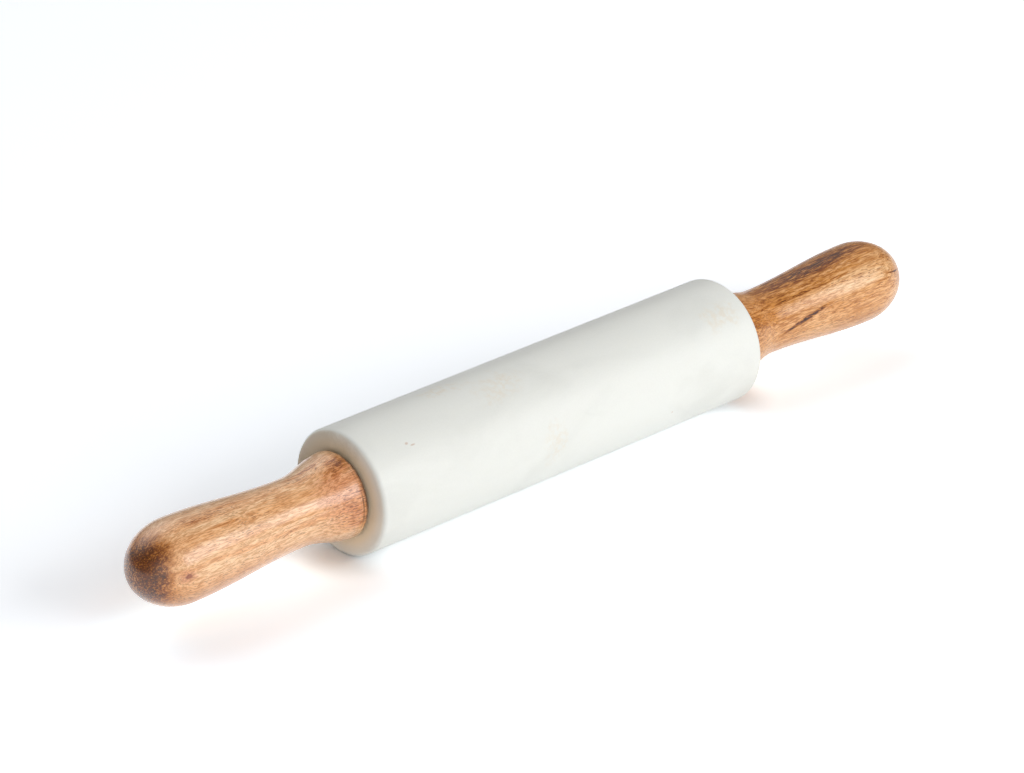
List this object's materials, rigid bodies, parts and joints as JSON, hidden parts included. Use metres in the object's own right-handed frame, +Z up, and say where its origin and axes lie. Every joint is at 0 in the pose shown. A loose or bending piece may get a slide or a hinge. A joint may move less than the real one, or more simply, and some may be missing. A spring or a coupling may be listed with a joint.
{
  "type": "rolling pin",
  "caption": "Rolling pin with a cylindrical marble barrel that spins on a steel axle between two turned wooden handles.",
  "frame": {"origin": "middle of the barrel, on the spin axis", "axes": "+X along the spin axis towards the right handle, +Z up from the worktop, +Y away from the baker"},
  "size_m": [0.406, 0.051, 0.051],
  "materials": {
    "marble": "honed white marble, satin",
    "handle_wood": "turned hardwood, oiled satin",
    "nylon": "natural nylon",
    "steel": "turned",
    "brass": "turned"
  },
  "bodies": {
    "handles": {"axle_rod": "steel", "left_washer": "steel", "right_washer": "steel", "left_insert": "brass", "right_insert": "brass", "left_handle": "handle_wood", "right_handle": "handle_wood"},
    "barrel": {"marble_barrel": "marble", "left_bush": "nylon", "right_bush": "nylon"}
  },
  "joints": [
    {"name": "barrel_spin", "type": "hinge", "parent": "handles", "child": "barrel", "pos_m": [0, 0, 0], "axis": [1, 0, 0], "continuous": true}
  ]
}
